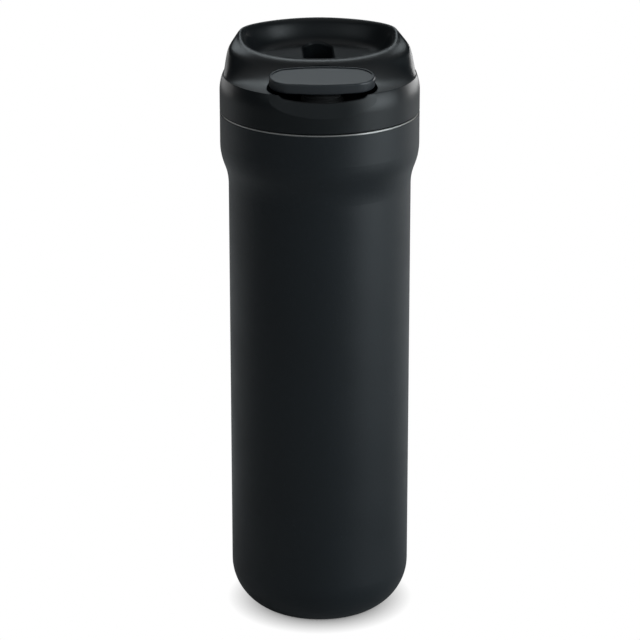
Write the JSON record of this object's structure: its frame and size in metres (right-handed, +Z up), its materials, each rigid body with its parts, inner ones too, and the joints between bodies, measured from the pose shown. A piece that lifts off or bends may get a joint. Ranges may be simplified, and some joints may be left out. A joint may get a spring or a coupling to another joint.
{
  "type": "insulated tumbler",
  "caption": "Double-walled steel travel tumbler with a screw-in lid, a rimmed drinking bowl and a press-to-drink button.",
  "frame": {"origin": "centre of the base, on the surface it stands on", "axes": "+Z up along the vessel's axis, the button faces -Y, the drinking side is +Y"},
  "size_m": [0.073, 0.073, 0.2204],
  "materials": {
    "powder_coat": "matt black powder coat",
    "bare_steel": "drawn and electropolished",
    "base_steel": "plain",
    "solder_glass": "glassy",
    "getter_metal": "sintered",
    "foil": "bright copper foil",
    "lid_plastic": "satin moulded",
    "plug_plastic": "satin moulded",
    "button_plastic": "soft satin",
    "acetal": "natural moulded",
    "black_silicone": "matt",
    "grey_silicone": "matt",
    "spring_steel": "drawn wire"
  },
  "bodies": {
    "vessel": {"outer_shell": "powder_coat", "inner_liner": "bare_steel", "base_disc": "base_steel", "seal_bead": "solder_glass", "getter": "getter_metal", "base_pad": "black_silicone", "radiation_foil": "foil"},
    "lid_carrier": {"main_gasket": "grey_silicone"},
    "lid": {"lid_shell": "lid_plastic", "lid_plug": "plug_plastic", "shell_seal": "grey_silicone", "vent_valve": "grey_silicone", "rocker_pin": "spring_steel", "button_boot": "black_silicone"},
    "button": {"button_cap": "button_plastic", "button_plunger": "acetal", "plunger_clip": "spring_steel", "button_spring": "spring_steel"},
    "rocker": {"rocker_arm": "acetal"},
    "stopper": {"stopper_stem": "acetal", "stopper_seal": "grey_silicone", "stem_clip": "spring_steel"}
  },
  "joints": [
    {"name": "lid_rise", "type": "slide", "parent": "vessel", "child": "lid_carrier", "axis": [0, 0, 1], "range_m": [0, 0.02201]},
    {"name": "lid_turn", "type": "hinge", "parent": "lid_carrier", "child": "lid", "pos_m": [0, 0, 0.1943], "axis": [0, 0, 1], "range_deg": [0, 720]},
    {"name": "button_press", "type": "slide", "parent": "lid", "child": "button", "axis": [0, 0, -1], "range_m": [0, 0.0032], "stiffness_N_per_m": 900, "springref_m": -0.002, "deforming": ["button_spring", "button_boot"]},
    {"name": "rocker_swing", "type": "hinge", "parent": "lid", "child": "rocker", "pos_m": [0, -0.00275, 0.192], "axis": [1, 0, 0], "range_deg": [0, 9.34]},
    {"name": "stopper_lift", "type": "slide", "parent": "lid", "child": "stopper", "axis": [0, 0, 1], "range_m": [0, 0.00321]}
  ],
  "couplings": [
    {"joint": "lid_rise", "follows": "lid_turn", "m_per_rad": 0.0017507},
    {"joint": "rocker_swing", "follows": "button_press", "rad_per_m": 50.688},
    {"joint": "stopper_lift", "follows": "button_press", "ratio": 1}
  ]
}
